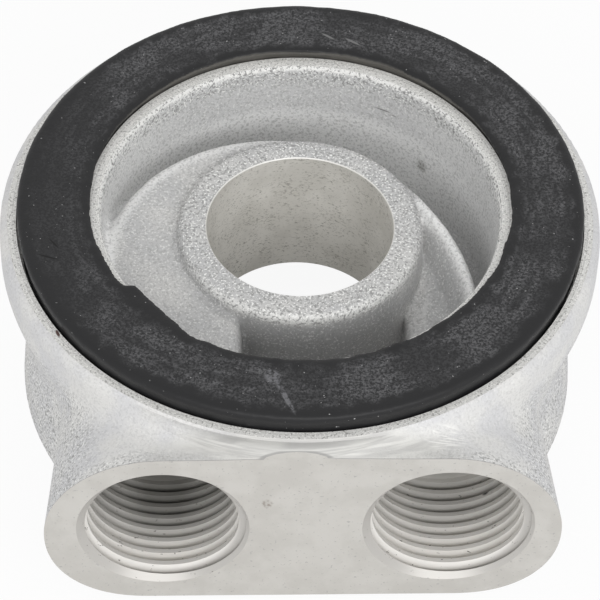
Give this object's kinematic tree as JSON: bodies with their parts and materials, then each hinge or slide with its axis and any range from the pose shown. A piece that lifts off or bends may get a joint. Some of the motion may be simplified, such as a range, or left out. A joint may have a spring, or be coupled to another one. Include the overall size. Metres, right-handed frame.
{
  "type": "oil filter sandwich plate",
  "caption": "Round cast adapter that fits between an engine and its screw-on oil filter, with threaded hose ports side by side on a flat front and a sealing ring on top.",
  "frame": {"origin": "on the bore axis, at the filter seat on the underside", "axes": "+Z along the bore axis towards the engine, -Y out of the two hose ports, +X to the right as the ports are faced"},
  "size_m": [0.076, 0.0764, 0.0317],
  "materials": {
    "cast_aluminium": "cast, with machined faces",
    "rubber": "matt, dusty"
  },
  "bodies": {
    "root": {"plate_body": "cast_aluminium", "sealing_ring": "rubber"}
  },
  "joints": []
}
